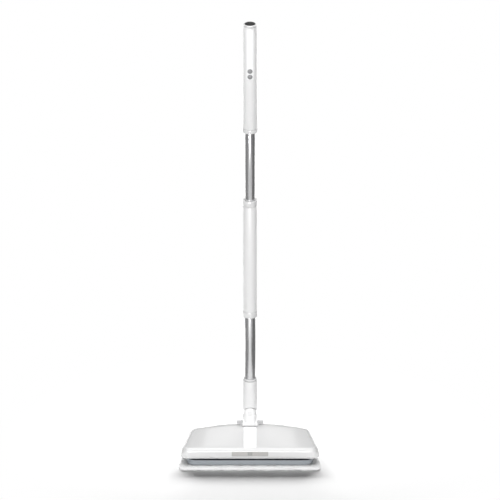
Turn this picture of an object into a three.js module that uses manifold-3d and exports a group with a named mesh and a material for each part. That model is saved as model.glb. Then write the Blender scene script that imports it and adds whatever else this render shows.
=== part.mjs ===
// Cordless electric flat mop. A low head carries a pad plate that an eccentric drive slides
// from side to side; a knuckle with two crossed pivots joins the head to a plugged-together
// tube handle with its battery, control board and two buttons in the grip.
// Millimetres. X runs across the head, -Y is the front, +Z is up. The origin is on the
// floor under the middle of the pad.

import * as THREE from "three";
import { mergeVertices } from "three/addons/utils/BufferGeometryUtils.js";
import Module from "manifold-3d";

const wasm = await Module();
wasm.setup();

// ---- Driving dimensions -------------------------------------------------------------

const gap = 0.3; // between pieces that touch or fit
const screwRadius = 1.4;
const screwHeadRadius = 3.2;
const screwHeadHeight = 1.6;

// Head outlines in plan, as [front Y, rear Y, half width in front, half width behind].
const padPlan = { front: -74, rear: 74, halfFront: 169, halfRear: 142, cornerFront: 12, cornerRear: 32 };
const platePlan = { front: -60, rear: 60, halfFront: 151, halfRear: 122, cornerFront: 20, cornerRear: 28 };
const coverPlan = { front: -62, rear: 66, halfFront: 164, halfRear: 130, cornerFront: 18, cornerRear: 26 };

const padThickness = 8;
const stripThickness = 1;
const stripLength = 250;
const stripDepth = 22;
const stripOffset = 35; // of each hook strip from the middle of the head
const plateHeight = 11;
const plateFloor = 3;
const plateRim = 2.5;
const plateToChassis = 3.8; // open gap above the plate's rim
const chassisThickness = 3;

const coverWall = 2.5;
const coverFrontChamfer = 4;
const coverFrontTop = 49.6;
const coverRidgeY = 36;
const coverRidgeTop = 71.8;
const coverRearTop = 42;
const crownDrop = 0.00085; // fall of the ridge, times the square of X
const postRadius = 4.5;
const postPlaces = [[118, -36], [98, 36]];

const trimHalfWidth = 14.7;
const trimProud = 0.8;
const trimRecess = 1.3;
const lensHalfWidth = 41.5;
const lensBottom = 32.4;
const lensTop = 43.2;
const lensProud = 0.4;
const windowHalfWidth = 4.6;
const windowMargin = 1.2;
const ledCount = 7;

// Drive: a scotch yoke in the plate round an eccentric bearing on the motor's shaft.
const driveY = -18;
const sweep = 3; // travel of the pad each way
const motorRadius = 17;
const motorHeight = 19;
const motorShaftRadius = 1.5;
const hubRadius = 8.5;
const eccentricPinRadius = 3;
const bearingRadius = 6.5;
const studRadius = 2.6;
const studHeadRadius = 6;
const studPlaces = [[80, -34], [80, 36]];

// Neck: the tilt axis runs along X, the side axis along Y above it.
const neckY = 34;
const tiltZ = 75.1;
const sideZ = 103.2;
const axleRadius = 2.5;
const barrelRadius = 11;
const earThickness = 3.6;
const earWall = 2.4; // round the axle's hole
const capLength = 10;
const capWall = 1;
const archGap = 2; // of the arch-shaped joint between knuckle and connector
const knuckleStep = 2.2; // of the knuckle's round top inside the neck
const waistAngle = 28; // degrees that the knuckle's round top carries on below the side axis
const sleeveSkirt = 5.3; // lowest edge of the connector above the side axis
const tongueThickness = 9.4;
const tongueRadius = 9;

// Handle, by height. Each piece's radius follows from the tube or the cells inside it.
const lowerTubeRadius = 12.5;
const upperTubeRadius = 11.6;
const tubeWall = 1.2;
const connectorWall = 3.4;
const connectorFloor = 124;
const connectorTop = 182.5;
const ringWall = 2.2;
const ringGap = 1; // shadow line under the ring
const ringHeight = 4.5;
const joinerWall = 0.6;
const sleeveBottom = 344;
const sleeveTop = 637.5;
const sleeveWall = 2;
const endCollarLip = 0.6;
const endCollarHeight = 14;
const tubeInsert = 42; // length of each tube inside the sleeve's joiner
const gripBottom = 807.5;
const gripCollarHeight = 9.5;
const gripCollarLip = 0.5;
const gripTop = 1070;
const gripWall = 2.9;
const gripFlare = 1.7; // extra radius at the grip's foot
const gripSocketDepth = 45;
const endRingHeight = 5.6;
const endRingWall = 2.8;
const plugThickness = 2.4;
const jackRadius = 4;
const jackBore = 1.9;

const cellRadius = 9.2;
const cellLength = 65;
const cellOffset = 2.4; // of the cells behind the grip's axis
const buttonRadius = 5.5;
const buttonProud = 0.7;
const buttonTravel = 1.2;
const buttonMargin = 2.9; // of the panel round the buttons, and between them
const powerButtonZ = 963.6;
const panelTop = 1067;
const panelThickness = 1.5;

// ---- Sizes that follow ------------------------------------------------------------------

const earRadius = axleRadius + gap + earWall;
const capRadius = axleRadius + gap + capWall;
const connectorRadius = lowerTubeRadius + gap + connectorWall;
const neckRadius = connectorRadius - 0.2;
const knuckleTopRadius = neckRadius - knuckleStep;
const sleeveArchRadius = knuckleTopRadius + archGap;
const ringRadius = lowerTubeRadius + gap + ringWall;
const joinerRadius = lowerTubeRadius + gap + joinerWall;
const sleeveRadius = joinerRadius + gap + sleeveWall;
const endCollarRadius = sleeveRadius + endCollarLip;
const gripBore = cellRadius + cellOffset + 0.5;
const gripTopRadius = gripBore + gripWall;
const gripBottomRadius = gripTopRadius + gripFlare;
const gripCollarRadius = gripBottomRadius + gripCollarLip;
const plugRadius = gripTopRadius - endRingWall;
const lightButtonZ = powerButtonZ - 2 * buttonRadius - buttonMargin;
const panelBottom = lightButtonZ - buttonRadius - buttonMargin;
const panelHalfWidth = buttonRadius + buttonMargin;

const stripBottom = padThickness + gap;
const plateBottom = stripBottom + stripThickness + gap;
const plateTop = plateBottom + plateHeight;
const chassisBottom = plateTop + plateToChassis;
const chassisTop = chassisBottom + chassisThickness;
const coverBottom = chassisBottom - gap;
const mechanismBase = chassisTop + gap;
const handleEnd = gripTop + gap + endRingHeight;

// ---- Solids -----------------------------------------------------------------------------

// A closed three.js geometry as a solid for joining and cutting.
function solidOf(geometry) {
  const bare = geometry.index ? geometry.toNonIndexed() : geometry.clone();
  bare.deleteAttribute("normal");
  bare.deleteAttribute("uv");
  const merged = mergeVertices(bare, 1e-4);
  const corners = merged.index.array;
  const triangles = [];
  for (let i = 0; i < corners.length; i += 3) {
    const [a, b, c] = corners.slice(i, i + 3);
    if (a !== b && b !== c && c !== a) triangles.push(a, b, c);
  }
  return new wasm.Manifold(new wasm.Mesh({
    numProp: 3,
    vertProperties: Float32Array.from(merged.attributes.position.array),
    triVerts: Uint32Array.from(triangles),
  }));
}

function geometryOf(solid) {
  const mesh = solid.getMesh();
  const geometry = new THREE.BufferGeometry();
  geometry.setAttribute("position", new THREE.BufferAttribute(mesh.vertProperties, mesh.numProp));
  geometry.setIndex(new THREE.BufferAttribute(mesh.triVerts, 1));
  geometry.computeVertexNormals();
  return geometry;
}

function join(solids) {
  return solids.reduce((whole, piece) => whole.add(piece));
}

function box(x, y, z) {
  const geometry = new THREE.BoxGeometry(x[1] - x[0], y[1] - y[0], z[1] - z[0]);
  geometry.translate((x[0] + x[1]) / 2, (y[0] + y[1]) / 2, (z[0] + z[1]) / 2);
  return solidOf(geometry);
}

// Extrusions of a shape drawn in plan, seen from the side (Y, Z) and from the front (X, Z).
function extrudeUp(shape, z, curveSegments = 6) {
  const geometry = new THREE.ExtrudeGeometry(shape, { depth: z[1] - z[0], bevelEnabled: false, curveSegments });
  return solidOf(geometry.translate(0, 0, z[0]));
}

function extrudeAcross(shape, x, curveSegments = 6) {
  const geometry = new THREE.ExtrudeGeometry(shape, { depth: x[1] - x[0], bevelEnabled: false, curveSegments });
  const turn = new THREE.Matrix4().makeBasis(
    new THREE.Vector3(0, 1, 0), new THREE.Vector3(0, 0, 1), new THREE.Vector3(1, 0, 0));
  return solidOf(geometry.applyMatrix4(turn).translate(x[0], 0, 0));
}

function extrudeBack(shape, y, curveSegments = 6) {
  const geometry = new THREE.ExtrudeGeometry(shape, { depth: y[1] - y[0], bevelEnabled: false, curveSegments });
  return solidOf(geometry.rotateX(Math.PI / 2).translate(0, y[1], 0));
}

// Round bars along each axis; the centre is given in the two other directions.
function barUp(radius, z, centre = [0, 0], segments = 16) {
  const geometry = new THREE.CylinderGeometry(radius, radius, z[1] - z[0], segments).rotateX(Math.PI / 2);
  return solidOf(geometry.translate(centre[0], centre[1], (z[0] + z[1]) / 2));
}

function barAcross(radius, x, centre, segments = 20) {
  const geometry = new THREE.CylinderGeometry(radius, radius, x[1] - x[0], segments).rotateZ(Math.PI / 2);
  return solidOf(geometry.translate((x[0] + x[1]) / 2, centre[0], centre[1]));
}

function barBack(radius, y, centre, segments = 20) {
  const geometry = new THREE.CylinderGeometry(radius, radius, y[1] - y[0], segments);
  return solidOf(geometry.translate(centre[0], (y[0] + y[1]) / 2, centre[1]));
}

// A turned piece: [radius, height] points, closed on themselves or ending on the axis.
function turned(profile, segments = 32) {
  const points = profile.map(([radius, height]) => new THREE.Vector2(radius, height));
  return solidOf(new THREE.LatheGeometry(points, segments).rotateX(Math.PI / 2));
}

function tube(outer, inner, z, segments = 32) {
  return turned([[inner, z[0]], [outer, z[0]], [outer, z[1]], [inner, z[1]], [inner, z[0]]], segments);
}

// A closed outline from [x, y, fillet radius] corners, listed anticlockwise.
function filleted(corners) {
  const shape = new THREE.Shape();
  corners.forEach(([x, y, radius], i) => {
    const corner = new THREE.Vector2(x, y);
    const before = new THREE.Vector2(...corners.at(i - 1)).sub(corner).normalize();
    const after = new THREE.Vector2(...corners[(i + 1) % corners.length]).sub(corner).normalize();
    const half = Math.acos(before.dot(after)) / 2;
    const start = corner.clone().addScaledVector(before, radius / Math.tan(half));
    if (i === 0) shape.moveTo(start.x, start.y);
    else shape.lineTo(start.x, start.y);
    if (radius === 0) return;
    const centre = before.clone().add(after).setLength(radius / Math.sin(half)).add(corner);
    const end = corner.clone().addScaledVector(after, radius / Math.tan(half));
    const clockwise = before.cross(after) > 0;
    shape.absarc(centre.x, centre.y, radius, start.sub(centre).angle(), end.sub(centre).angle(), clockwise);
  });
  shape.closePath();
  return shape;
}

// The same outline moved inwards by a distance, with its fillets to match.
function inset(corners, distance) {
  return corners.map(([x, y, radius], i) => {
    const corner = new THREE.Vector2(x, y);
    const before = new THREE.Vector2(...corners.at(i - 1)).sub(corner).normalize();
    const after = new THREE.Vector2(...corners[(i + 1) % corners.length]).sub(corner).normalize();
    const half = Math.acos(before.dot(after)) / 2;
    const moved = before.clone().add(after).setLength(distance / Math.sin(half)).add(corner);
    return [moved.x, moved.y, Math.max(radius - distance, 0)];
  });
}

// The head's plan: straight in front and behind, with sides that draw in to the rear.
function planCorners({ front, rear, halfFront, halfRear, cornerFront, cornerRear }) {
  return [
    [-halfFront, front, cornerFront],
    [halfFront, front, cornerFront],
    [halfRear, rear, cornerRear],
    [-halfRear, rear, cornerRear],
  ];
}

function mirrored(places) {
  return places.flatMap(([x, y]) => [[-x, y], [x, y]]);
}

// ---- Materials and assembly -----------------------------------------------------------

function finish(color, roughness, metalness = 0) {
  return new THREE.MeshStandardMaterial({ color, roughness, metalness });
}

const materials = {
  glossWhite: finish(0xf4f4f2, 0.22),
  matteWhite: finish(0xe9e9e7, 0.45),
  trimWhite: finish(0xffffff, 0.12),
  plateGrey: finish(0x8d949b, 0.5),
  darkGrey: finish(0x3d4044, 0.55),
  jointGrey: finish(0xa3a5a6, 0.5),
  buttonGrey: finish(0xa9abad, 0.4),
  lens: finish(0xc9c8c4, 0.2),
  black: finish(0x2b2b2a, 0.7),
  aluminium: finish(0xc3c5c8, 0.3, 1),
  steel: finish(0xb4b6b8, 0.35, 1),
  board: finish(0x2f6b45, 0.5),
  wrap: finish(0x3d6fa3, 0.4),
  fibre: finish(0xf2f2f0, 1),
  hook: finish(0xd8d8d6, 0.9),
};

const mop = new THREE.Group();
const head = new THREE.Group();
const drive = new THREE.Group();
const neck = new THREE.Group();
drive.position.set(0, driveY, 0);
neck.position.set(0, neckY, 0);
mop.add(head, drive, neck);

function place(group, name, solid, material) {
  const mesh = new THREE.Mesh(geometryOf(solid), material);
  mesh.name = name;
  group.add(mesh);
}

// ---- Pad, hook strips and plate -----------------------------------------------------------

function padSolid() {
  return extrudeUp(filleted(planCorners(padPlan)), [0, padThickness], 8);
}

function hookStrip(y) {
  const strip = [stripBottom, stripBottom + stripThickness];
  return box([-stripLength / 2, stripLength / 2], [y - stripDepth / 2, y + stripDepth / 2], strip);
}

const studBoss = studRadius + gap + 3.6;
const studTip = plateBottom + plateFloor + gap;
const yokeHalf = sweep * 2 + bearingRadius + 0.6;
const yokeHalfDepth = sweep + bearingRadius + 0.6;

// A tray with a boss under each stud and the yoke's walls round the eccentric.
function platePiece() {
  const corners = planCorners(platePlan);
  const tray = extrudeUp(filleted(corners), [plateBottom, plateTop])
    .subtract(extrudeUp(filleted(inset(corners, plateRim)), [plateBottom + plateFloor, plateTop + 1]));
  const yoke = box([-yokeHalf - plateRim, yokeHalf + plateRim],
    [driveY - yokeHalfDepth - plateRim, driveY + yokeHalfDepth + plateRim], [plateBottom, plateTop - 0.5]);
  const ribs = [platePlan.front + plateRim, 22].map((y) =>
    box([-stripLength / 2, stripLength / 2], [y - 0.8, y + 0.8], [plateBottom, plateTop - 5]));
  const studs = mirrored(studPlaces);
  const bosses = studs.map((place) => barUp(studBoss, [plateBottom, chassisBottom - gap], place));
  const bores = studs.map((place) => barUp(studRadius + gap, [studTip - gap, chassisTop], place));
  const slot = box([-yokeHalf, yokeHalf], [driveY - yokeHalfDepth, driveY + yokeHalfDepth],
    [plateBottom + plateFloor, plateTop + 1]);
  return join([tray, yoke, ...ribs, ...bosses]).subtract(join([slot, ...bores]));
}

// A shouldered pin with a wide head that slides on the chassis.
function glideStud(place) {
  const headBottom = chassisTop + gap;
  return barUp(studRadius, [studTip, headBottom + 1], place)
    .add(barUp(studHeadRadius, [headBottom, headBottom + 1.8], place));
}

place(head, "mop_pad", padSolid(), materials.fibre);
place(head, "hook_strip_front", hookStrip(-stripOffset), materials.hook);
place(head, "hook_strip_rear", hookStrip(stripOffset), materials.hook);
place(head, "mop_plate", platePiece(), materials.plateGrey);
mirrored(studPlaces).forEach((spot, i) =>
  place(head, `glide_stud_${i + 1}`, glideStud(spot), materials.steel));

// ---- Chassis ------------------------------------------------------------------------------

const chassisInset = coverFrontChamfer + coverWall + 0.4;
const bracketHalfWidth = 40;
const bracketDepth = [neckY - 18, neckY + 18];
const bracketScrewX = 32;
const shaftHoleRadius = hubRadius + 1.5;

function chassisPiece() {
  const thickness = [chassisBottom, chassisTop];
  const through = [chassisBottom - 1, chassisTop + 1];
  const slots = mirrored(studPlaces).flatMap(([x, y]) => [
    box([x - sweep, x + sweep], [y - studRadius - 0.4, y + studRadius + 0.4], through),
    barUp(studRadius + 0.4, through, [x - sweep, y]),
    barUp(studRadius + 0.4, through, [x + sweep, y]),
  ]);
  const screws = [...mirrored(postPlaces), [-bracketScrewX, neckY], [bracketScrewX, neckY]]
    .map((spot) => barUp(screwRadius + gap, through, spot));
  const shaftHole = barUp(shaftHoleRadius, through, [0, driveY]);
  return extrudeUp(filleted(inset(planCorners(coverPlan), chassisInset)), thickness)
    .subtract(join([...slots, ...screws, shaftHole]));
}

place(head, "chassis", chassisPiece(), materials.darkGrey);

// ---- Cover ----------------------------------------------------------------------------------

// The section seen from the side: an upright front with a rounded top edge, a sloping top,
// a rounded ridge and a steep back.
const coverSection = [
  [coverPlan.rear, coverBottom, 0],
  [coverPlan.rear, coverRearTop, 6],
  [coverRidgeY, coverRidgeTop, 14],
  [coverPlan.front, coverFrontTop, 8],
  [coverPlan.front, coverBottom + 6, 4],
  [coverPlan.front + coverFrontChamfer, coverBottom, 0],
];
const coverWidth = [-coverPlan.halfFront - 1, coverPlan.halfFront + 1];

// The crown seen from the front: the ridge falls away to both ends.
function crownOutline(drop) {
  const halfWidth = coverPlan.halfFront + 4;
  const steps = 10;
  const points = [new THREE.Vector2(-halfWidth, coverBottom - 10), new THREE.Vector2(halfWidth, coverBottom - 10)];
  for (let i = steps; i >= -steps; i -= 1) {
    const x = (halfWidth * i) / steps;
    points.push(new THREE.Vector2(x, coverRidgeTop - drop - crownDrop * x * x));
  }
  return new THREE.Shape(points);
}

function coverForm(distance) {
  return extrudeAcross(filleted(inset(coverSection, distance)), coverWidth)
    .intersect(extrudeUp(filleted(inset(planCorners(coverPlan), distance)), [coverBottom - 1, coverRidgeTop + 1]))
    .intersect(extrudeBack(crownOutline(distance), [coverPlan.front - 1, coverPlan.rear + 1]));
}

// The channel behind the knuckle, where the neck lies when it is folded back.
const channelHalf = neckRadius + 2.5;
const channelFront = neckY - barrelRadius - 0.6;
const channelFloor = tiltZ - connectorRadius - 1.8;
const earInner = neckRadius + 1;
const earOuter = earInner + earThickness;

function channel(margin) {
  return box([-channelHalf - margin, channelHalf + margin],
    [channelFront - margin, coverPlan.rear + 5], [channelFloor - margin, coverRidgeTop + 5]);
}

// A layer of the cover's top, from a depth below its surface to a height above it.
function topLayer(below, above, halfWidth, y) {
  const x = [-halfWidth, halfWidth];
  return extrudeAcross(filleted(inset(coverSection, -above)), x)
    .subtract(extrudeAcross(filleted(inset(coverSection, below)), x))
    .intersect(box(x, y, [coverFrontTop - 6, coverRidgeTop + 5]));
}

const trimDepth = [coverPlan.front + 8, channelFront - coverWall - 0.6];

function coverPiece() {
  const outer = coverForm(0);
  const posts = mirrored(postPlaces).map((spot) =>
    barUp(postRadius, [mechanismBase, coverRidgeTop], spot).intersect(outer));
  const pilots = mirrored(postPlaces).map((spot) =>
    barUp(screwRadius + gap, [chassisTop - 1, chassisTop + 12.5], spot));
  const opening = extrudeUp(filleted(inset(planCorners(coverPlan), coverFrontChamfer + coverWall)),
    [coverBottom - 1, coverBottom + coverWall + 0.5]);
  const earSlots = [-1, 1].map((side) => {
    const x = [side * (earInner - gap), side * (earOuter + gap)].sort((a, b) => a - b);
    return box(x, [neckY - earRadius - gap, neckY + earRadius + gap], [channelFloor - 6, coverRidgeTop + 5]);
  });
  const lensHole = box([-lensHalfWidth - gap, lensHalfWidth + gap],
    [coverPlan.front - 1, coverPlan.front + coverWall + 1], [lensBottom - gap, lensTop + gap]);
  const trimBed = topLayer(trimRecess, 3, trimHalfWidth + gap, [trimDepth[0] - gap, trimDepth[1] + gap]);
  return outer.subtract(channel(0))
    .subtract(coverForm(coverWall).subtract(channel(coverWall)))
    .subtract(opening)
    .add(join(posts))
    .subtract(join([...pilots, ...earSlots, lensHole, trimBed]));
}

function screwUp(spot, underside, length) {
  return barUp(screwHeadRadius, [underside - screwHeadHeight, underside], spot, 16)
    .add(barUp(screwRadius, [underside - 0.5, underside + length], spot, 12));
}

place(head, "head_cover", coverPiece(), materials.glossWhite);
place(head, "cover_trim", topLayer(trimRecess - gap, trimProud, trimHalfWidth, trimDepth), materials.trimWhite);
mirrored(postPlaces).forEach((spot, i) =>
  place(head, `cover_screw_${i + 1}`, screwUp(spot, chassisBottom - gap, 14), materials.steel));

// ---- Light strip ----------------------------------------------------------------------------

const lensBack = coverPlan.front + coverWall;
const lensFace = coverPlan.front - lensProud;
const windowBottom = lensBottom + windowMargin;
const windowTop = lensTop - windowMargin;

function lensPiece() {
  const hole = box([-windowHalfWidth - gap, windowHalfWidth + gap], [lensFace - 1, lensBack + 1],
    [windowBottom - gap, windowTop + gap]);
  return box([-lensHalfWidth, lensHalfWidth], [lensFace, lensBack], [lensBottom, lensTop]).subtract(hole);
}

function ledBoard() {
  const face = lensBack + 2.2;
  const board = box([-lensHalfWidth, lensHalfWidth], [face, face + 1.6], [mechanismBase, lensTop]);
  const spacing = (2 * lensHalfWidth) / ledCount;
  const leds = Array.from({ length: ledCount }, (_, i) => {
    const x = -lensHalfWidth + spacing * (i + 0.5);
    const z = (lensBottom + lensTop) / 2;
    return box([x - 2.5, x + 2.5], [face - 1.2, face + 0.5], [z - 2.5, z + 2.5]);
  });
  return join([board, ...leds]);
}

place(head, "light_lens", lensPiece(), materials.lens);
place(head, "status_window", box([-windowHalfWidth, windowHalfWidth], [lensFace - 0.2, lensBack],
  [windowBottom, windowTop]), materials.darkGrey);
place(head, "led_board", ledBoard(), materials.board);

// ---- Motor, its mount and the eccentric -----------------------------------------------------

const mountFloor = mechanismBase + 3;
const mountRadius = motorRadius + gap + 2.5;
const motorBottom = mountFloor + gap;
const hubTop = chassisTop - 0.8;
const hubBottom = plateTop + 0.4;
const bearingTop = hubBottom - gap;
const bearingBottom = plateBottom + plateFloor + 1.6;

function motorMount() {
  const flange = box([-26, 26], [-10, 10], [mechanismBase, mountFloor]);
  return barUp(mountRadius, [mechanismBase, motorBottom + 9], [0, 0], 32).add(flange)
    .subtract(barUp(motorRadius + gap, [mountFloor, motorBottom + 10], [0, 0], 32))
    .subtract(barUp(motorShaftRadius + 2, [mechanismBase - 1, mountFloor + 1]));
}

function motorPiece() {
  const top = motorBottom + motorHeight;
  const can = turned([[0, motorBottom], [motorRadius, motorBottom], [motorRadius, top - 1.5],
    [motorRadius - 1.5, top], [5, top], [5, top + 2.4], [0, top + 2.4]]);
  return can.subtract(barUp(motorShaftRadius + gap, [motorBottom - 1, motorBottom + 6]));
}

function hubPiece() {
  return barUp(hubRadius, [hubBottom, hubTop])
    .add(barUp(eccentricPinRadius, [bearingBottom - 0.6, hubBottom + 1], [sweep, 0]))
    .subtract(barUp(motorShaftRadius + gap, [hubTop - 4, hubTop + 1]));
}

const bearing = barUp(bearingRadius, [bearingBottom, bearingTop], [sweep, 0])
  .subtract(barUp(eccentricPinRadius + gap, [bearingBottom - 1, bearingTop + 1], [sweep, 0]));

place(drive, "motor_mount", motorMount(), materials.darkGrey);
place(drive, "drive_motor", motorPiece(), materials.steel);
place(drive, "motor_shaft", barUp(motorShaftRadius, [hubTop - 3.6, motorBottom + 5.5]), materials.steel);
place(drive, "eccentric_hub", hubPiece(), materials.jointGrey);
place(drive, "eccentric_bearing", bearing, materials.steel);

// ---- Driver board and head lead -------------------------------------------------------------

const boardX = [bracketHalfWidth + 3, bracketHalfWidth + 43];
const boardY = [-24, 18];
const boardTop = mechanismBase + 4.6;

// A board on four feet, with a connector, two capacitors and a switching chip.
function driverBoard() {
  const [start, end] = boardX;
  const board = box(boardX, boardY, [boardTop - 1.6, boardTop]);
  const feet = [start + 4, end - 4].flatMap((x) =>
    [boardY[0] + 4, boardY[1] - 4].map((y) => barUp(2.5, [mechanismBase, boardTop - 1], [x, y], 12)));
  const parts = [
    box([start + 3, start + 10], [-6, 8], [boardTop - 0.5, boardTop + 6]),
    box([start + 17, start + 27], [2, 12], [boardTop - 0.5, boardTop + 2]),
    barUp(4, [boardTop - 0.5, boardTop + 9], [start + 20, -13], 16),
    barUp(4, [boardTop - 0.5, boardTop + 9], [start + 30, -13], 16),
  ];
  return join([board, ...feet, ...parts]);
}

// The lead from the board's connector to the side of the motor.
function headLead() {
  const route = new THREE.CatmullRomCurve3([
    new THREE.Vector3(boardX[0] + 2.6, 1, boardTop + 3),
    new THREE.Vector3(boardX[0] - 3, 0, boardTop + 3.5),
    new THREE.Vector3(boardX[0] - 10, -6, boardTop + 9),
    new THREE.Vector3(motorRadius + 7, -12, boardTop + 12),
    new THREE.Vector3(motorRadius + 1, driveY + 2, boardTop + 12),
  ]);
  const section = new THREE.Shape().absarc(0, 0, 1.5, 0, Math.PI * 2, false);
  return solidOf(new THREE.ExtrudeGeometry(section, { steps: 14, curveSegments: 4, extrudePath: route }));
}

place(head, "driver_board", driverBoard(), materials.board);
place(head, "head_lead", headLead(), materials.black);

// ---- Pivot bracket, axle and caps -------------------------------------------------------------

const bracketTop = mechanismBase + 4;
const axleHalf = earOuter + gap + capLength - 2;

function pivotBracket() {
  const base = box([-bracketHalfWidth, bracketHalfWidth], bracketDepth, [mechanismBase, bracketTop]);
  const ear = new THREE.Shape();
  ear.moveTo(neckY - earRadius, mechanismBase);
  ear.lineTo(neckY + earRadius, mechanismBase);
  ear.lineTo(neckY + earRadius, tiltZ);
  ear.absarc(neckY, tiltZ, earRadius, 0, Math.PI, false);
  const ears = [[-earOuter, -earInner], [earInner, earOuter]].map((x) => extrudeAcross(ear, x));
  const holes = [-bracketScrewX, bracketScrewX].map((x) =>
    barUp(screwRadius + gap, [mechanismBase - 1, bracketTop + 1], [x, neckY], 16));
  return join([base, ...ears])
    .subtract(barAcross(axleRadius + gap, [-earOuter - 1, earOuter + 1], [neckY, tiltZ]))
    .subtract(join(holes));
}

function bracketScrew(x) {
  const underside = bracketTop + gap;
  return barUp(screwHeadRadius, [underside, underside + screwHeadHeight], [x, neckY], 16)
    .add(barUp(screwRadius, [chassisBottom + 0.5, underside + 0.5], [x, neckY], 12));
}

// A round cap over each end of the axle, closed outside.
function axleCap(side) {
  const start = earOuter + gap;
  const profile = [[axleRadius + gap, start], [capRadius, start], [capRadius, start + capLength - 1],
    [capRadius - 1, start + capLength], [0, start + capLength], [0, axleHalf + gap], [axleRadius + gap, axleHalf + gap],
    [axleRadius + gap, start]];
  const points = profile.map(([radius, along]) => new THREE.Vector2(radius, along));
  const geometry = new THREE.LatheGeometry(points, 16).rotateZ(-side * Math.PI / 2);
  return solidOf(geometry.translate(0, neckY, tiltZ));
}

place(head, "pivot_bracket", pivotBracket(), materials.jointGrey);
place(head, "bracket_screw_left", bracketScrew(-bracketScrewX), materials.steel);
place(head, "bracket_screw_right", bracketScrew(bracketScrewX), materials.steel);
place(head, "tilt_axle", barAcross(axleRadius, [-axleHalf, axleHalf], [neckY, tiltZ]), materials.steel);
place(head, "axle_cap_left", axleCap(-1), materials.jointGrey);
place(head, "axle_cap_right", axleCap(1), materials.jointGrey);

// ---- Knuckle and side pin, about the neck's own axis ----------------------------------------

const shoulderZ = sideZ - 10;
const pinHeadRadius = 5;
const pinHeadDepth = 2;

function knucklePiece() {
  const waist = THREE.MathUtils.degToRad(waistAngle);
  const side = new THREE.Shape();
  side.moveTo(barrelRadius, tiltZ);
  side.lineTo(neckRadius, tiltZ + 9);
  side.lineTo(neckRadius, sideZ + knuckleTopRadius);
  side.lineTo(-neckRadius, sideZ + knuckleTopRadius);
  side.lineTo(-neckRadius, tiltZ + 9);
  side.lineTo(-barrelRadius, tiltZ);
  const front = new THREE.Shape();
  front.moveTo(-neckRadius, tiltZ - barrelRadius);
  front.lineTo(neckRadius, tiltZ - barrelRadius);
  front.lineTo(neckRadius, shoulderZ);
  front.lineTo(knuckleTopRadius * Math.cos(waist), sideZ - knuckleTopRadius * Math.sin(waist));
  front.absarc(0, sideZ, knuckleTopRadius, -waist, Math.PI + waist, false);
  front.lineTo(-neckRadius, shoulderZ);
  const body = extrudeAcross(side, [-neckRadius, neckRadius])
    .intersect(barUp(neckRadius, [tiltZ - 1, sideZ + neckRadius + 1], [0, 0], 32))
    .intersect(extrudeBack(front, [-neckRadius - 1, neckRadius + 1], 10));
  const fork = box([-neckRadius - 1, neckRadius + 1], [-tongueThickness / 2 - gap, tongueThickness / 2 + gap],
    [sideZ - tongueRadius - 0.6, sideZ + neckRadius + 1]);
  return body.add(barAcross(barrelRadius, [-neckRadius, neckRadius], [0, tiltZ], 36))
    .subtract(fork)
    .subtract(barAcross(axleRadius + gap, [-neckRadius - 1, neckRadius + 1], [0, tiltZ]))
    .subtract(barBack(axleRadius + gap, [-neckRadius - 1, neckRadius + 1], [0, sideZ]))
    .subtract(barBack(pinHeadRadius + gap, [-neckRadius - 1, -neckRadius + pinHeadDepth + gap], [0, sideZ]));
}

const sidePin = barBack(pinHeadRadius, [-neckRadius, -neckRadius + pinHeadDepth], [0, sideZ])
  .add(barBack(axleRadius, [-neckRadius + 1, neckRadius - 1], [0, sideZ]));

place(neck, "knuckle", knucklePiece(), materials.glossWhite);
place(neck, "side_pin", sidePin, materials.steel);

// ---- Connector, ring and tubes ----------------------------------------------------------------

const socketRadius = lowerTubeRadius + gap;

function connectorPiece() {
  const skirt = sideZ + sleeveSkirt;
  const sleeve = turned([[0, skirt], [connectorRadius, skirt], [connectorRadius, connectorTop],
    [socketRadius, connectorTop], [socketRadius, connectorFloor], [0, connectorFloor]]);
  const arch = barBack(sleeveArchRadius, [-connectorRadius - 1, connectorRadius + 1], [0, sideZ], 36);
  const tongue = box([-tongueRadius, tongueRadius], [-tongueThickness / 2, tongueThickness / 2],
    [sideZ, connectorFloor - 1]);
  const tongueEnd = barBack(tongueRadius, [-tongueThickness / 2, tongueThickness / 2], [0, sideZ]);
  return sleeve.subtract(arch).add(tongue).add(tongueEnd)
    .subtract(barBack(axleRadius + gap, [-tongueThickness, tongueThickness], [0, sideZ]));
}

const joinerBottom = sleeveBottom + endCollarHeight + 2 * gap;
const joinerTop = sleeveTop - endCollarHeight - 2 * gap;
const lowerTubeSpan = [connectorFloor + gap, joinerBottom + tubeInsert];
const upperTubeSpan = [joinerTop - tubeInsert, gripBottom + gripCollarHeight + gripSocketDepth];

// The spacer inside the middle sleeve that both tubes plug into.
function joinerPiece() {
  const lower = lowerTubeRadius + gap;
  const upper = upperTubeRadius + gap;
  const lowerStop = lowerTubeSpan[1] + gap;
  const upperStop = upperTubeSpan[0] - gap;
  return turned([[lower, joinerBottom], [joinerRadius, joinerBottom], [joinerRadius, joinerTop],
    [upper, joinerTop], [upper, upperStop], [upper - 2, upperStop], [upper - 2, lowerStop],
    [lower, lowerStop], [lower, joinerBottom]]);
}

// An end collar with a small rounded lip at its outer end.
function endCollar(bore, z, lipAtTop) {
  const lip = 1.2;
  const [bottom, top] = z;
  const outer = lipAtTop
    ? [[endCollarRadius, bottom], [endCollarRadius, top - lip], [endCollarRadius - lip, top]]
    : [[endCollarRadius - lip, bottom], [endCollarRadius, bottom + lip], [endCollarRadius, top]];
  return turned([[bore, bottom], ...outer, [bore, top], [bore, bottom]]);
}

const ringBottom = connectorTop + ringGap;
const sleeveSpan = [sleeveBottom + endCollarHeight + gap, sleeveTop - endCollarHeight - gap];

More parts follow.
